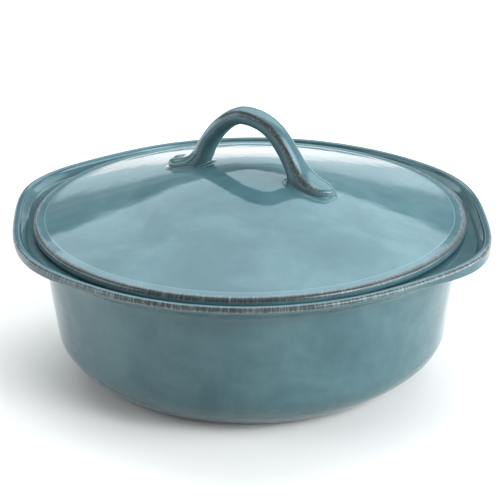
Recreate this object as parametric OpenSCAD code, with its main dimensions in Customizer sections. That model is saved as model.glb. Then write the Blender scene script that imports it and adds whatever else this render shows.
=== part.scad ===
// Covered casserole dish in glazed stoneware, in millimetres.
// A round dish flares into a rolled lip with four pulled corners, two at each end of X, so that the
// lip reaches furthest out at the two ends and makes the grips. A domed lid rests on the ledge inside
// the lip, and a strap handle with two flat paws stands on the lid.
// +Z is up, and the origin is the centre of the foot, on the table.

/* [Lip] */
// Height of the rolled lip's centre line above the table
lip_z = 77.5; // [74:0.5:90]
// Radius of the lip's centre line between the pulled corners
lip_r = 114.7; // [113:0.1:125]
// Radius of the rolled lip's own round section
lip_roll = 2.1; // [1.5:0.1:2.5]
// Angle of each pulled corner from the X axis, in degrees
corner_angle = 25.3; // [20:0.1:35]
// Angular half-width of a pulled corner, in degrees
corner_spread = 17.1; // [12:0.1:20]
// How far the front right and back left corners are pulled out
full_corner = 7.15; // [0:0.05:9]
// How far the front left and back right corners are pulled out
slight_corner = 3; // [0:0.05:9]
// How much deeper the lip's outer side is at the front right and back left corners
full_drop = 3.2; // [0:0.1:4]
// How much deeper it is at the front left and back right corners
slight_drop = 1.6; // [0:0.1:4]

/* [Dish body] */
// Outer radius at the neck, under the flare
neck_r = 102.55; // [101:0.05:104]
// Height of the neck above the table
neck_z = 64.95; // [60:0.05:67]
// Outer radius at the foot of the straight wall
waist_r = 96.35; // [92:0.05:99]
// Height of the foot of the straight wall
waist_z = 21.85; // [18:0.05:26]
// Radius of the flat foot
foot_r = 67.1; // [60:0.1:74]
// How much further the wall stands out at both ends of X than at the front and back
wall_oval = 1.1; // [0:0.1:2]
// How far the wall leans towards +X, as a hand-finished dish does
wall_lean = 0.6; // [0:0.1:1]
// Wall thickness, at the front and back
wall = 5.25; // [4:0.05:6]
// Thickness of the floor above the table
floor_z = 7.5; // [6:0.1:10]
// Inner radius of the foot's flat ring
foot_recess_r = 54; // [40:0.5:58]
// Depth of the hollow inside the foot's ring
foot_recess = 1.5; // [0.5:0.1:2.5]

/* [Lid] */
// Height of the ledge that the lid rests on
ledge_z = 75.2; // [73:0.1:76]
// Outer radius of the lid
lid_r = 107.6; // [105:0.1:108]
// Thickness of the lid's rounded edge
lid_edge = 5.3; // [4.5:0.1:6]
// Radius where the dome meets the flattened rim
crease_r = 102.3; // [99:0.1:103]
// Rise of the dome from the crease to its crown
dome_rise = 23.7; // [18:0.1:26]
// Roundness of the crown: the smaller it is, the more the dome is like a cone
crown_round = 27; // [20:1:60]
// Thickness of the dome
lid_wall = 5.2; // [4:0.1:6]
// Outer radius of the ring under the lid that keeps it central
locating_r = 96.4; // [94:0.1:97]
// Depth of that ring below the ledge
locating_depth = 3.8; // [2:0.1:6]

/* [Handle] */
// Turn of the handle about the lid's axis, in degrees clockwise from X
handle_turn = 32; // [0:1:90]
// Shift of the strap off the lid's axis, towards the back
handle_shift = 2; // [-4:0.5:4]
// Height of the strap's centre line at the crown, above the table
crown_z = 130.3; // [126:0.1:136]
// Lean of the crown towards the back left paw
crown_lean = 3.2; // [-4:0.1:4]
// Half-width of the strap at the crown
strap_half_width = 5.5; // [4:0.1:7]
// Half-thickness of the strap at the crown
strap_half_thick = 4.3; // [3.5:0.1:4.8]
// Distance from the lid's axis to the tip of the front right paw
right_reach = 45.5; // [43:0.5:50]
// Distance from the lid's axis to the tip of the back left paw
left_reach = 48; // [45:0.5:52]
// Half-width of each paw
paw_half_width = 8; // [6:0.1:10]

/* [Part] */
// The sub-part to draw, or all of them

/* [Hidden] */
$fn = 96;
around = 96;
clear = 1;
glaze_colour = [0.45, 0.57, 0.61];
strap_colour = [0.37, 0.48, 0.51];

// Foot of the gallery's wall, measured in from the lip's centre line, and its fillet
gallery_in = 5.6;
gallery_fillet = 0.6;
// Opening inside the ledge
mouth_r = 99.4;
mouth_round = 1.6;
// Directions of the straight wall: up the wall
wall_run = [neck_r - waist_r, neck_z - waist_z];
wall_up = wall_run / norm(wall_run);
wall_out = [wall_up[1], -wall_up[0]];
// Top of the lid's edge, where the dome begins
rim_top_z = ledge_z + lid_edge;

function bezier(p, t) = pow(1 - t, 3) * p[0] + 3 * t * pow(1 - t, 2) * p[1]
    + 3 * t * t * (1 - t) * p[2] + pow(t, 3) * p[3];

function bezier_slope(p, t) = 3 * pow(1 - t, 2) * (p[1] - p[0])
    + 6 * t * (1 - t) * (p[2] - p[1]) + 3 * t * t * (p[3] - p[2]);

// Points along a curve, leaving out its first one
function run(p, steps) = [for (i = [1:steps]) bezier(p, i / steps)];

function arc(centre, r, from, to, steps) = [for (i = [0:steps])
    let (a = from + (to - from) * i / steps) centre + r * [cos(a), sin(a)]];

// The shorter way round from one angle to another, in degrees
function turn_between(a, b) = ((a - b) % 360 + 540) % 360 - 180;

function corner(a, at) = exp(-pow(turn_between(a, at) / corner_spread, 2));

// How near an angle about Z is to the two corners of a kind: 1 on a corner, 0 far from it
function slight(a) = corner(a, corner_angle) + corner(a, 180 + corner_angle);
function full(a) = corner(a, -corner_angle) + corner(a, 180 - corner_angle);

// Radius of the lip's centre line, and the extra depth of its outer side, at an angle about Z
function rim_r(a) = lip_r + slight_corner * slight(a) + full_corner * full(a);
function drop(a) = slight_drop * slight(a) + full_drop * full(a);

// How much wider than round the wall is, at an angle about Z and a height; none at the foot and lip
function widening(a, z) = (wall_lean * cos(a) + wall_oval * pow(cos(a), 2))
    * ease((z - 3) / 12) * ease((neck_z + 6 - z) / 8);

// The dish's outside, as (radius, height) from the edge of the foot to the top of the ledge
waist = [waist_r, waist_z];
neck = [neck_r, neck_z];
base_curve = [[foot_r, 0], [foot_r + 13.5, 0], waist - 8.4 * wall_up, waist];

function flare_curve(lower) = let (under = lower + lip_roll * [cos(245), sin(245)])
    [neck, neck + 4 * wall_up, under - 0.45 * (under[0] - neck_r) * [cos(30), sin(30)], under];

function dish_outline(a) = let (
        r = rim_r(a),
        upper = [r, lip_z],
        lower = upper - [0, drop(a)],
        gallery_r = r - gallery_in
    ) concat(
        [[foot_r, 0]],
        run(base_curve, 8),
        [neck],
        run(flare_curve(lower), 6),
        arc(lower, lip_roll, -90, 0, 4),
        arc(upper, lip_roll, 10, 165, 6),
        [[gallery_r + gallery_fillet, ledge_z + 1.2 * gallery_fillet]],
        [[gallery_r, ledge_z]]
    );

module dish_blank() {
    outlines = [for (i = [0:around - 1]) dish_outline(360 * i / around)];
    rows = len(outlines[0]);
    points = [for (i = [0:around - 1]) for (p = outlines[i])
        let (a = 360 * i / around, r = p[0] + widening(a, p[1])) [r * cos(a), r * sin(a), p[1]]];
    sides = [for (i = [0:around - 1]) for (j = [0:rows - 2])
        let (here = i * rows + j, next = ((i + 1) % around) * rows + j)
        for (face = [[here, here + 1, next + 1], [here, next + 1, next]]) face];
    foot_face = [for (i = [0:around - 1]) i * rows];
    ledge_face = [for (i = [around - 1:-1:0]) i * rows + rows - 1];
    polyhedron(points = points, faces = concat(sides, [foot_face, ledge_face]), convexity = 6);
}

// The inside of the dish, from its floor to its mouth
inner_waist = waist - wall * wall_out;
inner_neck = [mouth_r - mouth_round, ledge_z - mouth_round];
inner_curve = [[58, floor_z], [74, floor_z], inner_waist - [1.3, 10], inner_waist + [0, 1.5]];
cavity_outline = concat(
    [[0, floor_z], inner_curve[0]],
    run(inner_curve, 8),
    arc([mouth_r, inner_neck[1]], mouth_round, 180, 90, 4),
    [[mouth_r, ledge_z + clear], [0, ledge_z + clear]]
);

module dish() {
    color(glaze_colour)
    difference() {
        dish_blank();
        rotate_extrude() polygon(cavity_outline);
        translate([0, 0, -clear])
            cylinder(r = foot_recess_r, h = foot_recess + clear);
    }
}

// The lid's section, from the crown outwards, round the edge and back under the dome
edge_round = 2.3;
edge_in = lid_r - edge_round;
seat_in = locating_r + 1;
ring_width = 3;
// The dome is a cone with a round crown: a hyperbola turned about the axis
function slant(r) = norm([crown_round, r]);
function dome_z(r) = rim_top_z
    + dome_rise * (slant(crease_r) - slant(r)) / (slant(crease_r) - crown_round);

lid_outline = concat(
    [for (i = [0:12]) let (r = crease_r * i / 12) [r, dome_z(r)]],
    [[crease_r + 1, rim_top_z - 0.15]],
    arc([edge_in, rim_top_z - edge_round], edge_round, 90, 0, 5),
    arc([edge_in, ledge_z + edge_round], edge_round, 0, -90, 5),
    [[seat_in, ledge_z], [locating_r, ledge_z - 0.8]],
    arc([locating_r - 1, ledge_z - locating_depth + 1], 1, 0, -90, 3),
    arc([locating_r - ring_width + 1, ledge_z - locating_depth + 1], 1, -90, -180, 3),
    [[locating_r - ring_width - 0.6, ledge_z]],
    [for (i = [10:-1:0]) let (r = 9.2 * i) [r, dome_z(r) - lid_wall]]
);

module lid() {
    color(glaze_colour)
    rotate_extrude() polygon(lid_outline);
}

// Each half of the strap's centre line runs from the crown to a paw's tip, as (distance from the
// axis, height): an arch down to the knee, then the paw. Side 1 is the front right, -1 the back left.
function knee(side) = side > 0 ? [24.8, crown_z - 20.4] : [27.3, crown_z - 22.2];
function leg_down(side) = let (a = side > 0 ? 58.5 : 66.5) [cos(a), -sin(a)];
function crown_run(side) = side > 0 ? 15 : 9.3;
function leg_run(side) = side > 0 ? 13.9 : 10;
function reach(side) = side > 0 ? right_reach : left_reach;
// Where the inner side of the leg runs into the dome
function root(side) = side > 0 ? 22 : 26.5;
function paw_tip(side) = [reach(side), dome_z(reach(side)) + 0.4];

function arch_curve(side) = let (crown = [-side * crown_lean, crown_z])
    [crown, crown + [crown_run(side), 0], knee(side) - leg_run(side) * leg_down(side), knee(side)];
function paw_curve(side) =
    [knee(side), knee(side) + 8 * leg_down(side), paw_tip(side) + [-13, 2.6], paw_tip(side)];

// Stations along half of the strap, 0 at the crown, 1 at the knee and 2 at the paw's tip
tip_start = 1.74;
stations = concat(
    [for (i = [0:11]) i / 12],
    [for (i = [0:11]) 1 + (tip_start - 1) * i / 12],
    [for (i = [0:7]) tip_start + (2 - tip_start) * sin(11.9 * i)]
);

function strap_centre(side, u) =
    u < 1 ? bezier(arch_curve(side), u) : bezier(paw_curve(side), u - 1);
function strap_slope(side, u) =
    let (d = u < 1 ? bezier_slope(arch_curve(side), u) : bezier_slope(paw_curve(side), u - 1))
    d / norm(d);
function strap_out(side, u) = let (d = strap_slope(side, u)) [-d[1], d[0]];
function ease(x) = let (c = min(max(x, 0), 1)) c * c * (3 - 2 * c);
function mix(a, b, k) = a + (b - a) * k;
function half_width(u) = mix(strap_half_width, paw_half_width, ease((u - 0.75) / 0.75));
function half_thick(u) = strap_half_thick + 0.4 * ease(u - 0.3);

// The strap's top line, the line of its greatest width, and its bottom line. Past the knee the
// bottom goes straight down and runs root_depth below the dome, so that each paw stands full on it.
root_depth = 1.3;
function over_line(side, u) = strap_centre(side, u) + half_thick(u) * strap_out(side, u);
function middle_line(side, u) = let (c = strap_centre(side, u))
    [c[0], mix(c[1], dome_z(c[0]) + 0.5, ease((u - 1.15) / 0.45))];
function under_line(side, u) = let (
        free = strap_centre(side, u) - half_thick(u) * strap_out(side, u),
        r = mix(root(side), reach(side), ease((u - 1.2) / 0.8))
    ) mix(free, [r, dome_z(r) - root_depth], ease((u - 1) / 0.35));

// A station's closed section, round the strap from its front edge over the top: a rounded
// rectangle, squarer at the paw, that shrinks to a blunt round end at the tip
section_points = 24;
function strap_ring(side, u) = let (
        over = over_line(side, u),
        middle = middle_line(side, u),
        under = under_line(side, u),
        squareness = 2 / mix(2.35, 3, ease((u - 0.9) / 0.5)),
        tip = max(u - tip_start, 0) / (2 - tip_start),
        close = pow(1 - pow(tip, 4.5), 1 / 4.5),
        w = half_width(u) * sqrt(1 - tip * tip)
    ) [for (k = [0:section_points - 1]) let (
        a = 360 * k / section_points,
        rise = close * pow(abs(sin(a)), squareness),
        p = mix(middle, sin(a) > 0 ? over : under, rise),
        across = -sign(cos(a)) * pow(abs(cos(a)), squareness) * w
    ) [side * p[0], across, p[1]]];

module strap() {
    rings = concat(
        [for (i = [len(stations) - 1:-1:1]) strap_ring(-1, stations[i])],
        [for (u = stations) strap_ring(1, u)]
    );
    n = section_points;
    points = [for (ring = rings) for (p = ring) p];
    sides = [for (i = [0:len(rings) - 2]) for (k = [0:n - 1])
        let (a = i * n + k, b = i * n + (k + 1) % n)
        for (face = [[a, b, b + n], [a, b + n, a + n]]) face];
    last = (len(rings) - 1) * n;
    ends = [
        [for (k = [n / 2:-1:0]) k],
        [for (k = [n:-1:n / 2]) k % n],
        [for (k = [0:n / 2]) last + k],
        [for (k = [n / 2:n]) last + k % n]
    ];
    polyhedron(points = points, faces = concat(sides, ends), convexity = 6);
}

module lid_handle() {
    color(strap_colour)
    rotate([0, 0, -handle_turn])
    translate([0, handle_shift, 0])
        strap();
}

dish();
lid();
lid_handle();
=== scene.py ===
"""Covered stoneware casserole: the glazed surfaces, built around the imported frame.

Lengths inside the shape functions are millimetres, the same numbers as the CAD; they become metres
when a mesh is made. The frame has +Z up and its origin at the centre of the foot.
"""
import math

import bpy
from mathutils import Matrix, Vector, noise
from mathutils.bvhtree import BVHTree


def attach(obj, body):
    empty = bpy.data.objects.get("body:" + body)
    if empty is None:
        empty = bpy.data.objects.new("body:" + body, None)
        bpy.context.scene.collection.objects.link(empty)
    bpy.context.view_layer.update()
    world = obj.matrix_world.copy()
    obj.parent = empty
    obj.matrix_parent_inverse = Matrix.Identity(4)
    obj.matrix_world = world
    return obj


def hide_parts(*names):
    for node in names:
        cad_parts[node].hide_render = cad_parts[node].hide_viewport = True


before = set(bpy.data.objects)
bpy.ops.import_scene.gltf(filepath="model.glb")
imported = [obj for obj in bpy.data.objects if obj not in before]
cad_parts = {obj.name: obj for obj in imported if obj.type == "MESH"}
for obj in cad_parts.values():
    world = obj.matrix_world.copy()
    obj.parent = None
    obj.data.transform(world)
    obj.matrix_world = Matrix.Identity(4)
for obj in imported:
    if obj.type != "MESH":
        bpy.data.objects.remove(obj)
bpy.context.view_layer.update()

MM = 0.001
SCENE = bpy.context.scene

# ---------------------------------------------------------------- sizes, in millimetres
LIP_Z, LIP_R, LIP_ROLL = 77.5, 114.6, 2.05
CORNER_ANGLE, CORNER_SPREAD = 25.3, 17.1
FULL_CORNER, SLIGHT_CORNER = 7.05, 2.95
FULL_DROP, SLIGHT_DROP, LEAST_DROP = 3.1, 1.5, 0.1
WALL_OVAL, WALL_LEAN = 1.1, 0.6
NECK_R, NECK_Z = 102.55, 64.95
WAIST_R, WAIST_Z = 96.35, 21.85
FOOT_R, FOOT_RECESS_R, FOOT_RECESS = 67.1, 54.0, 1.5
WALL, FLOOR_Z = 5.25, 7.5
LEDGE_Z, GALLERY_IN = 75.2, 5.6
MOUTH_R, MOUTH_ROUND = 99.4, 1.6
LID_R, LID_EDGE, CREASE_R, LID_WALL = 107.55, 5.3, 102.3, 5.2
DOME_RISE, CROWN_ROUND, SHOULDER_R = 23.7, 27.0, 101.5
EDGE_ROUND = 2.35
LOCATING_R, LOCATING_DEPTH, LOCATING_WIDTH = 96.4, 3.8, 3.0
RIM_TOP_Z = LEDGE_Z + LID_EDGE
HANDLE_TURN, HANDLE_SHIFT = math.radians(32.0), 2.0
CROWN_Z, CROWN_LEAN = 130.3, 3.2
STRAP_HALF_WIDTH, PAW_HALF_WIDTH = 5.45, 7.5
STRAP_HALF_THICK, LEG_THICKENING = 4.25, 0.4
BAND_LIFT_ANGLE, BAND_LIFT_SPREAD = -38.0, 24.0
AROUND = 384  # columns in each thrown surface


# ---------------------------------------------------------------- curves
def mix(a, b, t):
    return a + (b - a) * t


def ease(x):
    c = min(max(x, 0.0), 1.0)
    return c * c * (3 - 2 * c)


def bell(x, width):
    return math.exp(-((x / width) ** 2))


def add(p, q, k=1.0):
    return (p[0] + k * q[0], p[1] + k * q[1])


def bezier(p, t):
    w = ((1 - t) ** 3, 3 * t * (1 - t) ** 2, 3 * t * t * (1 - t), t**3)
    return tuple(sum(w[i] * p[i][k] for i in range(4)) for k in range(2))


def bezier_slope(p, t):
    w = (3 * (1 - t) ** 2, 6 * t * (1 - t), 3 * t * t)
    d = [sum(w[i] * (p[i + 1][k] - p[i][k]) for i in range(3)) for k in range(2)]
    n = math.hypot(*d)
    return (d[0] / n, d[1] / n)


def run(p, steps):
    """Points along a curve, leaving out its start."""
    return [bezier(p, i / steps) for i in range(1, steps + 1)]


def line(a, b, steps):
    """Points from a to b, leaving out a."""
    return [(mix(a[0], b[0], i / steps), mix(a[1], b[1], i / steps)) for i in range(1, steps + 1)]


def arc(centre, r, start, end, steps):
    angles = [math.radians(mix(start, end, i / steps)) for i in range(steps + 1)]
    return [(centre[0] + r * math.cos(a), centre[1] + r * math.sin(a)) for a in angles]


def angled_arc(centre, r, start, end, steps):
    """Pairs of (angle, point) along an arc."""
    points = arc(centre, r, start, end, steps)
    return [(mix(start, end, i / steps), p) for i, p in enumerate(points)]


def turn_from(a, at):
    """The way round from angle at to angle a, in degrees from -180 to 180."""
    return (a - at + 540) % 360 - 180


def corner(a, at):
    return bell(turn_from(a, at), CORNER_SPREAD)


def slight(a):
    """How near angle a is to the two slightly pulled corners: 1 on a corner, 0 far from it."""
    return corner(a, CORNER_ANGLE) + corner(a, 180 + CORNER_ANGLE)


def full(a):
    """The same for the two fully pulled corners."""
    return corner(a, -CORNER_ANGLE) + corner(a, 180 - CORNER_ANGLE)


def rim_r(a):
    """Radius of the lip's centre line at angle a, in degrees."""
    return LIP_R + SLIGHT_CORNER * slight(a) + FULL_CORNER * full(a)


def drop(a):
    """Extra depth of the lip's outer side at angle a."""
    return LEAST_DROP + SLIGHT_DROP * slight(a) + FULL_DROP * full(a)


def band_lift(a):
    """How far up the rims the bands of thin glaze sit at angle a: 1 at the front right, 0 elsewhere."""
    return bell(turn_from(a, BAND_LIFT_ANGLE), BAND_LIFT_SPREAD)


def slant(r):
    return math.hypot(CROWN_ROUND, r)


def dome_z(r):
    """Height of the dome, a cone with a round crown, at radius r."""
    return RIM_TOP_Z + DOME_RISE * (slant(CREASE_R) - slant(r)) / (slant(CREASE_R) - CROWN_ROUND)


# ---------------------------------------------------------------- mesh building
def make_mesh(name, points, faces, attributes, body, node):
    """A smooth mesh that rides on a body; it replaces the node, if there is one."""
    mesh = bpy.data.meshes.new(name)
    mesh.from_pydata([(x * MM, y * MM, z * MM) for x, y, z in points], [], faces)
    for key, values in attributes.items():
        layer = mesh.attributes.new(key, "FLOAT", "POINT")
        layer.data.foreach_set("value", values)
    mesh.polygons.foreach_set("use_smooth", [True] * len(mesh.polygons))
    mesh.update()
    piece = bpy.data.objects.new(name, mesh)
    SCENE.collection.objects.link(piece)
    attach(piece, body)
    if node:
        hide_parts(node)
    return piece


def wave(p, scale, seed):
    """Smooth noise from -1 to 1 at a point in millimetres; scale is its grain."""
    return noise.noise(Vector((p[0] / scale + seed, p[1] / scale - seed, p[2] / scale + 2 * seed)))


def swell(p, layers):
    """The sum of a few noises at a point. Each layer is (depth, grain, seed), in millimetres."""
    return sum(depth * wave(p, grain, seed) for depth, grain, seed in layers)


def turned(name, outline, columns, body, node, disturb):
    """A closed thrown form. outline(a) lists (radius, height, band) from pole to pole at angle a."""
    points, band, faces = [], [], []
    for i in range(columns):
        a = 360.0 * i / columns
        c, s = math.cos(math.radians(a)), math.sin(math.radians(a))
        for r, z, b in outline(a):
            x, y, z = disturb((r * c, r * s, z), r, a)
            points.append((x, y, z))
            band.append(b)
    rows = len(points) // columns
    for i in range(columns):
        here, there = i * rows, ((i + 1) % columns) * rows
        for j in range(rows - 1):
            faces.append((here + j, there + j, there + j + 1, here + j + 1))
    first, last = len(points), len(points) + 1
    ends = (points[0::rows], points[rows - 1 :: rows])
    for ring in ends:
        points.append((0.0, 0.0, sum(p[2] for p in ring) / columns))
        band.append(0.0)
    for i in range(columns):
        here, there = i * rows, ((i + 1) % columns) * rows
        faces.append((first, there, here))
        faces.append((last, here + rows - 1, there + rows - 1))
    return make_mesh(name, points, faces, {"band": band}, body, node)


def plain(pairs):
    return [(r, z, 0.0) for r, z in pairs]


# ---------------------------------------------------------------- the dish
def wall_frame():
    run_r, run_z = NECK_R - WAIST_R, NECK_Z - WAIST_Z
    n = math.hypot(run_r, run_z)
    up = (run_r / n, run_z / n)
    return up, (up[1], -up[0])


WALL_UP, WALL_OUT = wall_frame()
WAIST, NECK = (WAIST_R, WAIST_Z), (NECK_R, NECK_Z)
BASE_CURVE = [(FOOT_R, 0), (FOOT_R + 13.5, 0), add(WAIST, WALL_UP, -8.4), WAIST]
INNER_WAIST = add(WAIST, WALL_OUT, -WALL)
INNER_NECK = (MOUTH_R - MOUTH_ROUND, LEDGE_Z - MOUTH_ROUND)
INNER_CURVE = [(58, FLOOR_Z), (74, FLOOR_Z), add(INNER_WAIST, (1.3, 10), -1), add(INNER_WAIST, (0, 1.5))]
GLAZE_START_R = 68.6  # the glaze stops short of the bare foot
GLAZE_LIFT, GLAZE_END_WIDTH = 0.45, 9.0  # the rounded end of the glaze above it
SOLE_Z = 0.8  # the dish's own underside, inside the bare foot ring
LIP_START, LIP_END = -110, 168  # the part of the lip's roll that stands clear, as angles
UNDER_LIP, FLARE_END, FLARE_PULL = 245, 30, 0.45  # where and how the flare runs into the roll
SIDE_STEPS = 5
WALL_SWELLS = ((0.26, 38, 3.1), (0.10, 17, 8.7))
LIP_SWELLS = ((0.11, 24, 5.5), (0.05, 9, 2.2))
THROW_PITCH, THROW_DEPTH = 6.4, 0.035


def lip_band(angle, a):
    """How much the glaze thins at an angle round the lip's roll: all over its outer side."""
    return ease((angle + 22 - 16 * band_lift(a)) / 22) * ease((74 - angle) / 20)


def dish_outline(a):
    """The dish's section at angle a: up its outside, over the lip and down its inside."""
    r = rim_r(a)
    gallery = r - GALLERY_IN
    roll, lower_z = LIP_ROLL, LIP_Z - drop(a)
    under = (r + roll * math.cos(math.radians(UNDER_LIP)), lower_z + roll * math.sin(math.radians(UNDER_LIP)))
    reach = FLARE_PULL * (under[0] - NECK_R)
    pull = (math.cos(math.radians(FLARE_END)) * reach, math.sin(math.radians(FLARE_END)) * reach)
    flare = [NECK, add(NECK, WALL_UP, 4), add(under, pull, -1), under]
    base = [(r_out, z + GLAZE_LIFT * (1 - ease((r_out - GLAZE_START_R) / GLAZE_END_WIDTH)))
            for r_out, z in run(BASE_CURVE, 26) if r_out > GLAZE_START_R]
    recess = [(r_in, FOOT_RECESS) for r_in in (8, 30, 45, FOOT_RECESS_R - 1.4)]
    sole = [(FOOT_RECESS_R - 0.4, FOOT_RECESS - 0.15), (FOOT_RECESS_R + 0.2, SOLE_Z + 0.1), (60, SOLE_Z),
            (67, SOLE_Z), (GLAZE_START_R - 0.5, SOLE_Z - 0.1), (GLAZE_START_R, GLAZE_LIFT)]
    outside = plain(recess + sole + base + line(WAIST, NECK, 26) + run(flare, 16))
    sunk = math.degrees(drop(a) / roll)
    lower = [(*p, lip_band(t - sunk, a)) for t, p in angled_arc((r, lower_z), roll, LIP_START, 0, 12)]
    side = [(r + roll, mix(lower_z, LIP_Z, i / SIDE_STEPS), lip_band(-sunk * (1 - i / SIDE_STEPS), a))
            for i in range(1, SIDE_STEPS)]
    upper = [(*p, lip_band(t, a)) for t, p in angled_arc((r, LIP_Z), roll, 0, LIP_END, 20)]
    lip = lower + side + upper
    wall_top = lip[-1][:2]
    wall_foot = (gallery + 0.9, LEDGE_Z + 0.75)
    inside = plain(
        line(wall_top, wall_foot, 6)
        + run([wall_foot, (gallery + 0.35, LEDGE_Z + 0.1), (gallery, LEDGE_Z), (gallery - 1, LEDGE_Z)], 6)
        + line((gallery - 1, LEDGE_Z), (MOUTH_R, LEDGE_Z), 5)
        + arc((MOUTH_R, INNER_NECK[1]), MOUTH_ROUND, 90, 180, 7)[1:]
        + line(INNER_NECK, INNER_CURVE[3], 14)
        + run(INNER_CURVE[::-1], 22)
        + [(r_in, FLOOR_Z - dip) for r_in, dip in ((44, 0.05), (30, 0.1), (16, 0.15), (5, 0.15))])
    return outside + lip + inside


def throw_dish(p, r, a):
    """Slow swells and faint throwing lines on the walls, and a hand-rolled unevenness on the lip."""
    x, y, z = p
    on_wall = ease((z - 3) / 12) * ease((NECK_Z + 6 - z) / 8)
    on_flare = ease((z - NECK_Z) / 4)
    slow = on_wall * swell(p, WALL_SWELLS)
    spiral = math.sin(2 * math.pi * (z / THROW_PITCH + a / 360.0))
    lines = on_wall * THROW_DEPTH * spiral * (0.6 + 0.4 * wave(p, 30, 1.3))
    rolled = on_flare * (swell(p, LIP_SWELLS) - 0.08)
    turn = math.cos(math.radians(a))
    wide = on_wall * (WALL_LEAN * turn + WALL_OVAL * turn * turn)
    d = slow + lines + wide - 0.15 * on_wall + rolled
    k = 1 + d / max(r, 1.0) if r > 60 else 1
    return (x * k, y * k, z + on_flare * ease((r - 106) / 4) * 0.06 * wave(p, 30, 6.4))


# ---------------------------------------------------------------- the foot ring
RING_OUTER_R = GLAZE_START_R + 0.1
FOOT_SECTION = [
    (FOOT_RECESS_R - 0.1, 0.45), (FOOT_RECESS_R + 0.5, 0.04), (58, 0.0), (62, 0.0), (66.2, 0.0),
    (67.6, 0.10), (RING_OUTER_R, 0.40), (RING_OUTER_R, 0.75), (67.4, 1.1), (60, 1.15), (54.6, 1.15),
    (FOOT_RECESS_R - 0.1, 0.9),
]


def make_ring(name, section, columns, body, node):
    """A closed ring whose section is a closed loop of (radius, height)."""
    points, faces = [], []
    for i in range(columns):
        a = 2 * math.pi * i / columns
        for r, z in section:
            points.append((r * math.cos(a), r * math.sin(a), z))
    rows = len(points) // columns
    for i in range(columns):
        here, there = i * rows, ((i + 1) % columns) * rows
        for j in range(rows):
            k = (j + 1) % rows
            faces.append((here + j, there + j, there + k, here + k))
    return make_mesh(name, points, faces, {}, body, node)


# ---------------------------------------------------------------- the lid
DOME_STEPS = 80
LID_SWELLS = ((0.19, 42, 4.4), (0.09, 20, 9.1), (0.02, 9, 2.7))
LID_PITCH, LID_LINES = 8.0, 0.004
# Across the sloping shoulder: distance out from the dome's edge, height of the bead, and band; a band below 0
# paints a highlight along the crease bead
SHOULDER = ((-0.45, 0.10, -0.2), (0, 0.04, -1), (0.45, 0, -0.2), (1.1, 0, 0), (2.2, 0, 0.15), (3.1, 0, 0.34))


def lid_band(angle, a):
    """How much the glaze thins round the lid's edge: most on its upper corner."""
    return mix(0.42, 1.0, ease((90 - angle) / 30)) * ease((angle + 4 - 16 * band_lift(a)) / 20)


def lid_outline(a):
    """The lid's section at angle a: from the middle of its underside to the crown."""
    radii = [SHOULDER_R * i / DOME_STEPS for i in range(1, DOME_STEPS)]
    dome = [(r, dome_z(r), 0.0) for r in radii]
    edge_in = LID_R - EDGE_ROUND
    top = RIM_TOP_Z - 0.12
    shoulder_z = dome_z(SHOULDER_R)
    fall = (shoulder_z - top) / (edge_in - SHOULDER_R)
    rim = [(SHOULDER_R + away, shoulder_z - fall * away + bead, b) for away, bead, b in SHOULDER]
    over = [(*p, lid_band(t, a)) for t, p in angled_arc((edge_in, top - EDGE_ROUND), EDGE_ROUND, 90, 0, 18)]
    below = [(*p, lid_band(t, a))
             for t, p in angled_arc((edge_in, LEDGE_Z + EDGE_ROUND), EDGE_ROUND, 0, -90, 12)]
    lowest = LEDGE_Z - LOCATING_DEPTH
    inner = LOCATING_R - LOCATING_WIDTH
    under = plain(
        line((edge_in, LEDGE_Z), (LOCATING_R + 1, LEDGE_Z), 6)
        + [(LOCATING_R + 0.3, LEDGE_Z - 0.25), (LOCATING_R, LEDGE_Z - 0.8), (LOCATING_R, LEDGE_Z - 1.8)]
        + arc((LOCATING_R - 1, lowest + 1), 1, 0, -90, 5)
        + arc((inner + 1, lowest + 1), 1, -90, -180, 5)
        + [(inner - 0.1, LEDGE_Z - 1), (inner - 0.5, LEDGE_Z)]
        + [(2.3 * i, dome_z(2.3 * i) - LID_WALL) for i in range(40, 0, -1)])
    return (dome + rim + over + below + under)[::-1]


def throw_lid(p, r, a):
    """Slow swells and faint throwing lines on the dome, and a slight unevenness round the edge."""
    x, y, z = p
    top_side = 1.0 if z > dome_z(min(r, CREASE_R)) - 1.5 and r < CREASE_R + 1 else 0.0
    lines = LID_LINES * math.sin(2 * math.pi * (r / LID_PITCH + a / 360.0))
    fade = ease(r / 10) * ease((CREASE_R + 1 - r) / 5)
    edge = ease((r - 104) / 2)
    k = 1 + edge * (0.10 * wave(p, 26, 7.7) - 0.10) / max(r, 1.0)
    return (x * k, y * k, z + top_side * fade * (swell(p, LID_SWELLS) + lines - 0.1))


# ---------------------------------------------------------------- the handle
# The strap's two legs, 1 at the front right and -1 at the back left. knee: where the arch becomes the
# paw; down: slope there, in degrees; crown_run, leg_run: how far the arch runs straight at its ends;
# reach, root: how far out the paw's tip and its inner end are.
SIDES = {
    1: {"knee": (24.8, CROWN_Z - 20.4), "down": 58.5, "crown_run": 15.0, "leg_run": 13.9,
        "reach": 45.5, "root": 22.0},
    -1: {"knee": (27.3, CROWN_Z - 22.2), "down": 66.5, "crown_run": 9.3, "leg_run": 10.0,
         "reach": 48.0, "root": 26.5},
}
STRAP_SWELLS = ((0.10, 12, 3.3), (0.05, 5, 6.1))
STRAP_SQUARE, PAW_SQUARE, TIP_SQUARE = 2.35, 3.0, 4.5  # 2 is an ellipse, more is squarer
TIP_START = 1.74
RIDGE_ANGLE, RIDGE_SPREAD = 38, 26  # where the glaze thins, as angles round the section
SECTION = 88  # points round the strap
RING_S, RING_N, RING_R = 43.6, 1.6, 3.3  # the small ring mark on the back left paw


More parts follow.
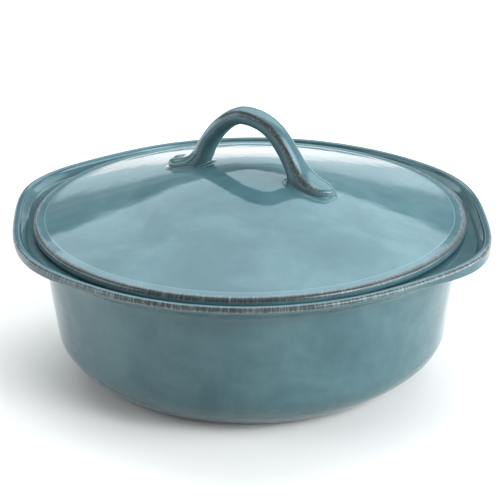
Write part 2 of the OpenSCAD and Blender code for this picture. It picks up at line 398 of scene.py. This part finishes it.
def strap_curves(side):
    """The centre lines of one half of the arch and of its paw, as curves of (along, height)."""
    f = SIDES[side]
    down = (math.cos(math.radians(f["down"])), -math.sin(math.radians(f["down"])))
    crown, knee = (-side * CROWN_LEAN, CROWN_Z), f["knee"]
    tip = (f["reach"], dome_z(f["reach"]) + 0.4)
    arch = [crown, add(crown, (f["crown_run"], 0)), add(knee, down, -f["leg_run"]), knee]
    paw = [knee, add(knee, down, 8), add(tip, (-13, 2.6)), tip]
    return arch, paw


def strap_spine(side, u, curves):
    """The strap's upper, middle and lower lines at station u: 0 crown, 1 knee, 2 tip of the paw."""
    arch, paw = curves
    centre = bezier(arch, u) if u < 1 else bezier(paw, u - 1)
    slope = bezier_slope(arch, u) if u < 1 else bezier_slope(paw, u - 1)
    out = (-slope[1], slope[0])
    thick = STRAP_HALF_THICK + LEG_THICKENING * ease(u - 0.3)
    over = add(centre, out, thick - 0.2 * ease((u - 1.5) / 0.4))
    under = add(centre, out, -thick)
    f = SIDES[side]
    sunk = mix(f["root"], f["reach"], ease((u - 1.2) / 0.8))
    k = ease((u - 1) / 0.35)
    under = (mix(under[0], sunk, k), mix(under[1], dome_z(sunk) - 1.3, k))
    k = ease((u - 1.15) / 0.45)
    middle = (centre[0], mix(centre[1], dome_z(centre[0]) + 0.5, k))
    return over, middle, under


def strap_section(side, u, curves):
    """One closed section of the strap, as (along, across, height, closeness to its upper front ridge)."""
    over, middle, under = strap_spine(side, u, curves)
    width = mix(STRAP_HALF_WIDTH, PAW_HALF_WIDTH, ease((u - 0.75) / 0.75))
    square = mix(STRAP_SQUARE, PAW_SQUARE, ease((u - 0.9) / 0.5))
    tip = max(u - TIP_START, 0) / (2 - TIP_START)
    close = (1 - tip**TIP_SQUARE) ** (1 / TIP_SQUARE)
    points = []
    for k in range(SECTION):
        a = 2 * math.pi * k / SECTION
        c, s = math.cos(a), math.sin(a)
        t = abs(s) ** (2 / square) * close
        flat = max(1 - (t / max(close, 0.001)) ** square, 0) ** (2 / square) * (1 - tip * tip)
        across = -math.copysign(math.sqrt(max(flat, 0.0)), c) * width
        end = over if s > 0 else under
        along, height = mix(middle[0], end[0], t), mix(middle[1], end[1], t)
        turn = turn_from(math.degrees(a), 0)
        ridge = bell(turn - RIDGE_ANGLE, RIDGE_SPREAD) * mix(1.0, 0.75, ease((u - 1.5) / 0.3))
        if side < 0:
            ridge *= ease((0.55 - u) / 0.25)
            if u > 1.2 and s > 0:
                away = math.hypot(along - RING_S, across - RING_N) - RING_R
                height += 0.25 * bell(away + 1.1, 0.6) - 0.75 * bell(away, 0.55)
                ridge = max(ridge, 1.15 * bell(away, 0.65))
        points.append((side * along, across, height, ridge))
    return points


def make_handle():
    """The strap: one skin from the back paw's tip over the crown to the front paw's tip."""
    stations = ([i / 70 for i in range(70)]
                + [1 + (TIP_START - 1) * i / 56 for i in range(56)]
                + [TIP_START + (2 - TIP_START) * math.sin(math.radians(88.5 * i / 24)) for i in range(25)])
    rings = []
    for side, order in ((-1, stations[:0:-1]), (1, stations)):
        curves = strap_curves(side)
        rings += [strap_section(side, u, curves) for u in order]
    points, band = [], []
    c, s = math.cos(HANDLE_TURN), math.sin(HANDLE_TURN)
    for section in rings:
        for along, across, height, ridge in section:
            p = (along, across, height)
            n = across + HANDLE_SHIFT
            height += swell(p, STRAP_SWELLS) - 0.1
            points.append((along * c + n * s, -along * s + n * c, height))
            band.append(ridge)
    faces = []
    for i in range(len(rings) - 1):
        for k in range(SECTION):
            a, b = i * SECTION + k, i * SECTION + (k + 1) % SECTION
            faces.append((a, a + SECTION, b + SECTION, b))
    for ring, flip in ((0, False), (len(rings) - 1, True)):
        loop = [ring * SECTION + k for k in range(SECTION)]
        points.append(tuple(sum(points[i][k] for i in loop) / SECTION for k in range(3)))
        band.append(0.5)
        for k in range(SECTION):
            a, b = loop[k], loop[(k + 1) % SECTION]
            faces.append((len(points) - 1, b, a) if flip else (len(points) - 1, a, b))
    return make_mesh("lid_handle_strap", points, faces, {"band": band}, "lid", "lid_handle")


FILLET_INSET = 12.0  # from the paw's tip to the middle of its bead of glaze
FILLET_FAR = 24.0  # farther out than any part of a paw


def make_fillet(name, tree, side, columns=160):
    """The bead of glaze that fills the corner where a paw meets the dome."""
    c, s = math.cos(HANDLE_TURN), math.sin(HANDLE_TURN)
    middle_s, middle_n = side * (SIDES[side]["reach"] - FILLET_INSET), HANDLE_SHIFT
    middle = Vector((middle_s * c + middle_n * s, -middle_s * s + middle_n * c, 0))
    points, faces = [], []
    for i in range(columns):
        a = 2 * math.pi * i / columns
        d = Vector((math.cos(a), math.sin(a), 0))
        reach = 9.0
        for _ in range(3):
            start = middle + FILLET_FAR * d
            height = dome_z((middle + reach * d).xy.length) + 0.7
            hit = tree.ray_cast(Vector((start.x, start.y, height)) * MM, -d, FILLET_FAR * MM)
            if hit[0] is not None:
                reach = (hit[0] / MM - middle).xy.dot(d.xy)
        swing = 0.35 * wave((10 * d.x, 10 * d.y, side), 5, 1.9)
        profile = [(-1.0, -0.8), (-0.5, 1.35), (-0.15, 1.25), (0.12, 0.80), (0.45, 0.46), (0.9, 0.26),
                   (1.5 + 0.5 * swing, 0.16), (2.1 + swing, 0.09), (2.4 + swing, -0.12), (1.9, -0.8)]
        for away, up in profile:
            q = middle + (reach + away) * d
            points.append((q.x, q.y, dome_z(q.xy.length) + up))
    rows = len(points) // columns
    for i in range(columns):
        here, there = i * rows, ((i + 1) % columns) * rows
        for j in range(rows):
            k = (j + 1) % rows
            faces.append((here + j, here + k, there + k, there + j))
    return make_mesh(name, points, faces, {"band": [0.0] * len(points)}, "lid", None)


# ---------------------------------------------------------------- materials
class Shader:
    """Short names for building a node tree."""

    def __init__(self, name):
        self.material = bpy.data.materials.new(name)
        self.material.use_nodes = True
        self.tree = self.material.node_tree
        self.tree.nodes.clear()
        self.output = self.tree.nodes.new("ShaderNodeOutputMaterial")
        self.surface = self.tree.nodes.new("ShaderNodeBsdfPrincipled")
        self.link(self.surface.outputs[0], self.output.inputs[0])
        self.place = self.tree.nodes.new("ShaderNodeTexCoord").outputs["Object"]

    def link(self, source, target):
        self.tree.links.new(source, target)

    def feed(self, node, values):
        for key, value in values.items():
            if isinstance(value, bpy.types.NodeSocket):
                self.link(value, node.inputs[key])
            else:
                node.inputs[key].default_value = value

    def noise(self, size, detail=2.0, rough=0.5, where=None, warp=0.0):
        node = self.tree.nodes.new("ShaderNodeTexNoise")
        self.feed(node, {"Vector": where or self.place, "Scale": 1.0 / size, "Detail": detail,
                         "Roughness": rough, "Distortion": warp})
        return node.outputs["Fac"]

    def ramp(self, source, stops):
        node = self.tree.nodes.new("ShaderNodeValToRGB")
        points = node.color_ramp.elements
        while len(points) < len(stops):
            points.new(0.5)
        for point, (at, colour) in zip(points, stops):
            point.position = at
            point.color = (*colour, 1.0) if isinstance(colour, tuple) else (colour, colour, colour, 1.0)
        self.link(source, node.inputs[0])
        return node.outputs[0]

    def math(self, kind, a, b):
        node = self.tree.nodes.new("ShaderNodeMath")
        node.operation = kind
        self.feed(node, {0: a, 1: b})
        return node.outputs[0]

    def blend(self, factor, a, b):
        node = self.tree.nodes.new("ShaderNodeMix")
        node.data_type = "RGBA"
        values = {0: factor, 6: a, 7: b}
        for key, value in values.items():
            if isinstance(value, bpy.types.NodeSocket):
                self.link(value, node.inputs[key])
            elif key == 0:
                node.inputs[0].default_value = value
            else:
                node.inputs[key].default_value = (*value, 1.0)
        return node.outputs[2]

    def span(self, source, low, high, to_low=0.0, to_high=1.0):
        node = self.tree.nodes.new("ShaderNodeMapRange")
        node.interpolation_type = "SMOOTHSTEP"
        self.feed(node, {0: source, 1: low, 2: high, 3: to_low, 4: to_high})
        return node.outputs[0]

    def attribute(self, name):
        node = self.tree.nodes.new("ShaderNodeAttribute")
        node.attribute_name = name
        return node.outputs["Fac"]

    def bump(self, height, distance, over=None):
        """A bump that is distance metres high, on top of the normal over, if there is one."""
        node = self.tree.nodes.new("ShaderNodeBump")
        self.feed(node, {"Height": height, "Distance": distance, "Strength": 1.0})
        if over is not None:
            self.link(over, node.inputs["Normal"])
        return node.outputs[0]

    def streak_place(self, radius):
        """Coordinates that change along a rim and hardly across it, so that noise runs in streaks."""
        split = self.tree.nodes.new("ShaderNodeSeparateXYZ")
        self.link(self.place, split.inputs[0])
        flat = self.tree.nodes.new("ShaderNodeCombineXYZ")
        self.link(split.outputs[0], flat.inputs[0])
        self.link(split.outputs[1], flat.inputs[1])
        unit = self.tree.nodes.new("ShaderNodeVectorMath")
        unit.operation = "NORMALIZE"
        self.link(flat.outputs[0], unit.inputs[0])
        grow = self.tree.nodes.new("ShaderNodeVectorMath")
        grow.operation = "SCALE"
        self.link(unit.outputs[0], grow.inputs[0])
        grow.inputs["Scale"].default_value = radius
        lift = self.tree.nodes.new("ShaderNodeCombineXYZ")
        self.link(self.math("MULTIPLY", split.outputs[2], 0.12), lift.inputs[2])
        join = self.tree.nodes.new("ShaderNodeVectorMath")
        self.link(grow.outputs[0], join.inputs[0])
        self.link(lift.outputs[0], join.inputs[1])
        return join.outputs[0]


CLOUD, MOTTLE, SPECK = 0.040, 0.006, 0.0016  # grain of the glaze's colours, in metres
STREAK, PATCH = 0.0006, 0.006  # grain of the thin places
RIPPLE, PEEL = 0.014, 0.0028  # grain of the surface
TEAL_DEEP = (0.050, 0.098, 0.112)
TEAL = (0.066, 0.122, 0.136)
TEAL_THIN = (0.088, 0.150, 0.164)
BREAK_DARK = (0.036, 0.036, 0.037)
BREAK_BROWN = (0.078, 0.068, 0.062)
BREAK_GREY = (0.150, 0.150, 0.152)
BREAK_PALE = (0.185, 0.192, 0.196)
# painted highlight: the pale teal of the line along the lid's crease bead
CREST_HIGHLIGHT = (0.180, 0.260, 0.275)


def glaze(name, streak_radius, band_start, band_end, darkness, tone, red):
    """Teal glaze that breaks to streaky brown where the band attribute rises to 1, and pales to a painted
    highlight at -1.

    streak_radius: radius in metres of the rim that the streaks cross, or 0 for grain without a direction.
    band_start, band_end: the band values between which the teal gives way.
    darkness: darkness of the broken glaze; tone: lightness of the teal, set lower on the dish and handle than
    on the lid as painted shade; red: red in its reflections.
    """
    s = Shader(name)
    broad = s.noise(CLOUD, 3.0, 0.55, warp=0.6)
    fine = s.noise(MOTTLE, 4.0, 0.6)
    depth = s.math("ADD", s.math("MULTIPLY", broad, 0.8), s.math("MULTIPLY", fine, 0.2))
    teals = [tuple(tone * v for v in colour) for colour in (TEAL_DEEP, TEAL, TEAL_THIN)]
    colour = s.ramp(depth, list(zip((0.36, 0.50, 0.64), teals)))
    specks = s.span(s.noise(SPECK, 2.0, 0.5), 0.70, 0.80)
    colour = s.blend(s.math("MULTIPLY", specks, 0.25), colour, TEAL_DEEP)

    band = s.attribute("band")
    where = s.streak_place(streak_radius) if streak_radius else s.place
    grain = s.noise(STREAK, 2.0, 0.6, where=where)
    patch = s.noise(PATCH, 3.0, 0.6, where=where)
    ragged = s.math("ADD", s.math("MULTIPLY", s.math("SUBTRACT", grain, 0.5), 0.8),
                    s.math("MULTIPLY", s.math("SUBTRACT", patch, 0.5), 0.7))
    thin = s.math("ADD", band, ragged)
    edge = s.span(thin, band_start, band_end)
    shade = s.math("ADD", grain, s.math("MULTIPLY", s.math("SUBTRACT", 0.8 - darkness / 0.3, thin), 0.3))
    browns = (BREAK_DARK, BREAK_BROWN, BREAK_GREY, BREAK_PALE)
    broken = s.ramp(shade, list(zip((0.39, 0.48, 0.57, 0.70), browns)))
    colour = s.blend(s.math("MULTIPLY", edge, 0.95), colour, broken)
    # painted highlight: where the band is below 0, on the lid's crease bead, the teal is paled
    crest_highlight = s.span(s.math("MULTIPLY", band, -1.0), 0.15, 0.9)
    colour = s.blend(s.math("MULTIPLY", crest_highlight, 0.5), colour, CREST_HIGHLIGHT)

    ripple = s.noise(RIPPLE, 2.0, 0.5)
    peel = s.noise(PEEL, 2.0, 0.5)
    normal = s.bump(ripple, 0.00012)
    normal = s.bump(peel, 0.000006, over=normal)
    normal = s.bump(s.math("MULTIPLY", grain, edge), 0.00006, over=normal)
    rough = s.math("ADD", s.span(fine, 0.3, 0.7, 0.055, 0.085), s.math("MULTIPLY", edge, 0.12))
    s.feed(s.surface, {"Base Color": colour, "Roughness": rough, "Normal": normal, "IOR": 1.47,
                       "Specular Tint": (red, 1.0, 1.03, 1.0)})
    return s.material


def bare_clay():
    s = Shader("bare_stoneware")
    grit = s.noise(0.0009, 5.0, 0.7)
    tone = s.noise(0.012, 3.0, 0.6)
    colour = s.ramp(s.math("ADD", s.math("MULTIPLY", grit, 0.5), s.math("MULTIPLY", tone, 0.5)),
                    [(0.35, (0.20, 0.145, 0.10)), (0.5, (0.34, 0.26, 0.19)), (0.65, (0.43, 0.35, 0.27))])
    s.feed(s.surface, {"Base Color": colour, "Roughness": s.span(grit, 0.2, 0.8, 0.7, 0.9),
                       "Normal": s.bump(grit, 0.00015)})
    return s.material


# ---------------------------------------------------------------- build the pieces
dish = turned("dish_glazed", dish_outline, AROUND, "dish", "dish", throw_dish)
foot = make_ring("dish_foot_ring", FOOT_SECTION, AROUND, "dish", "dish")
lid = turned("lid_glazed", lid_outline, AROUND, "lid", "lid", throw_lid)
handle = make_handle()
handle_tree = BVHTree.FromPolygons([v.co for v in handle.data.vertices],
                                   [p.vertices[:] for p in handle.data.polygons])
fillets = [make_fillet("paw_fillet_front", handle_tree, 1), make_fillet("paw_fillet_back", handle_tree, -1)]

# The same glaze in three tones: the darker dish and handle are painted shade, and the lighter lid is painted
# light.
dish.data.materials.append(glaze("glaze_dish", 0.1146, 0.35, 0.60, darkness=-0.01, tone=0.82, red=0.80))
lid.data.materials.append(glaze("glaze_lid", 0.1075, 0.38, 0.62, darkness=0.04, tone=1.03, red=1.0))
strap_glaze = glaze("glaze_handle", 0.0, 0.46, 0.80, darkness=0.06, tone=0.78, red=0.86)
for piece in (handle, *fillets):
    piece.data.materials.append(strap_glaze)
foot.data.materials.append(bare_clay())


# ---------------------------------------------------------------- floor, light and camera
FLOOR_HALF = 4.0
FLOOR_WHITE = (0.95, 0.80, 0.76)


def make_floor():
    h = FLOOR_HALF
    mesh = bpy.data.meshes.new("floor")
    mesh.from_pydata([(-h, -h, 0), (h, -h, 0), (h, h, 0), (-h, h, 0)], [], [(0, 1, 2, 3)])
    floor = bpy.data.objects.new("floor", mesh)
    SCENE.collection.objects.link(floor)
    s = Shader("floor_white")
    s.feed(s.surface, {"Base Color": (*FLOOR_WHITE, 1.0), "Roughness": 0.9, "Specular IOR Level": 0.0})
    mesh.materials.append(s.material)


LIGHT_TINT = (0.82, 1.0, 1.06)  # slightly cool light; the floor is slightly warm, so that it renders white

# Each soft box: azimuth of its middle (0 behind the dish, 90 to its right), half of its width, how
# softly its sides end, and its brightness at a few elevations. All angles are in degrees.
SOFT_BOXES = {
    "room": (0, 180, 1, {12: 0.0, 14: 0.42, 23: 0.30, 60: 0.05, 72: 0.9, 84: 1.6}),
    "horizon": (0, 62, 16, {-6: 1.15, 8: 1.15, 13: 0.3, 17: 0.0}),
    "low_right": (94, 25, 6, {-6: 14.0, 9: 14.0, 13: 0.0}),
    "low_left": (-80, 30, 8, {-6: 3.8, 9: 3.8, 13: 0.0}),
    "back": (0, 56, 4, {24.2: 0.0, 26.0: 2.05, 42: 2.25, 54: 3.0, 60: 4.8, 70: 4.8, 78: 0.0}),
    "back_right": (56, 28, 16, {8: 0.0, 14: 0.35, 24: 0.65, 60: 0.75, 70: 0.0}),
    "right": (119, 30, 5, {10: 0.0, 14: 7.2, 38: 7.2, 46: 0.0}),
    "lamp": (128, 8, 2, {26: 0.0, 28: 12.0, 40: 12.0, 42: 0.0}),
    "left": (-98, 18, 5, {10: 0.0, 14: 3.0, 38: 3.0, 46: 0.0}),
}


def make_world():
    """The soft boxes, as light from the sky."""
    world = bpy.data.worlds.new("studio")
    SCENE.world = world
    world.use_nodes = True
    tree = world.node_tree
    tree.nodes.clear()
    out = tree.nodes.new("ShaderNodeOutputWorld")
    back = tree.nodes.new("ShaderNodeBackground")
    back.inputs["Color"].default_value = (*LIGHT_TINT, 1.0)
    tree.links.new(back.outputs[0], out.inputs[0])
    place = tree.nodes.new("ShaderNodeTexCoord")
    split = tree.nodes.new("ShaderNodeSeparateXYZ")
    tree.links.new(place.outputs["Generated"], split.inputs[0])
    x, y, z = split.outputs

    def math_node(kind, a, b=0.0):
        node = tree.nodes.new("ShaderNodeMath")
        node.operation = kind
        for socket, value in zip(node.inputs, (a, b)):
            if isinstance(value, bpy.types.NodeSocket):
                tree.links.new(value, socket)
            else:
                socket.default_value = value
        return node.outputs[0]

    across = math_node("SQRT", math_node("ADD", math_node("MULTIPLY", x, x), math_node("MULTIPLY", y, y)))
    elevation = math_node("ARCTAN2", z, across)
    height = math_node("ADD", math_node("MULTIPLY", elevation, 1 / math.pi), 0.5)
    total = None
    for azimuth, half_width, fade, levels in SOFT_BOXES.values():
        brightest = max(levels.values())
        ramp = tree.nodes.new("ShaderNodeValToRGB")
        points = ramp.color_ramp.elements
        while len(points) < len(levels):
            points.new(0.5)
        for point, (degrees, level) in zip(points, levels.items()):
            point.position = degrees / 180 + 0.5
            point.color = (level / brightest,) * 3 + (1.0,)
        tree.links.new(height, ramp.inputs[0])
        box = math_node("MULTIPLY", ramp.outputs[0], brightest)
        if half_width < 180:
            turn = math.radians(azimuth)
            facing = math_node("ADD", math_node("MULTIPLY", x, math.sin(turn)),
                               math_node("MULTIPLY", y, math.cos(turn)))
            facing = math_node("DIVIDE", facing, math_node("MAXIMUM", across, 0.001))
            edge = tree.nodes.new("ShaderNodeMapRange")
            edge.interpolation_type = "SMOOTHSTEP"
            tree.links.new(facing, edge.inputs[0])
            edge.inputs[1].default_value = math.cos(math.radians(half_width + fade))
            edge.inputs[2].default_value = math.cos(math.radians(half_width - fade))
            box = math_node("MULTIPLY", box, edge.outputs[0])
        total = box if total is None else math_node("ADD", total, box)
    tree.links.new(total, back.inputs["Strength"])


CAMERA_ELEVATION, CAMERA_ROLL = 22.23, 0.46  # degrees
CAMERA_DISTANCE, LOOK_AT_Z = 1.165, 0.06035  # metres
SENSOR_WIDTH, FOCAL_LENGTH = 36.0, 167.76  # millimetres


def make_camera():
    """A long lens in front of the dish, looking down at it."""
    elevation, roll = math.radians(CAMERA_ELEVATION), math.radians(CAMERA_ROLL)
    look_at = Vector((0, 0, LOOK_AT_Z))
    data = bpy.data.cameras.new("camera")
    data.sensor_width = SENSOR_WIDTH
    data.lens = FOCAL_LENGTH
    camera = bpy.data.objects.new("camera", data)
    SCENE.collection.objects.link(camera)
    forward = Vector((0, math.cos(elevation), -math.sin(elevation)))
    right, up = Vector((1, 0, 0)), Vector((0, math.sin(elevation), math.cos(elevation)))
    right, up = (math.cos(roll) * right - math.sin(roll) * up, math.sin(roll) * right + math.cos(roll) * up)
    turn = Matrix((right, up, -forward)).transposed()
    camera.matrix_world = Matrix.Translation(look_at - CAMERA_DISTANCE * forward) @ turn.to_4x4()
    SCENE.camera = camera


make_floor()
make_world()
make_camera()
SCENE.view_settings.view_transform = "Standard"
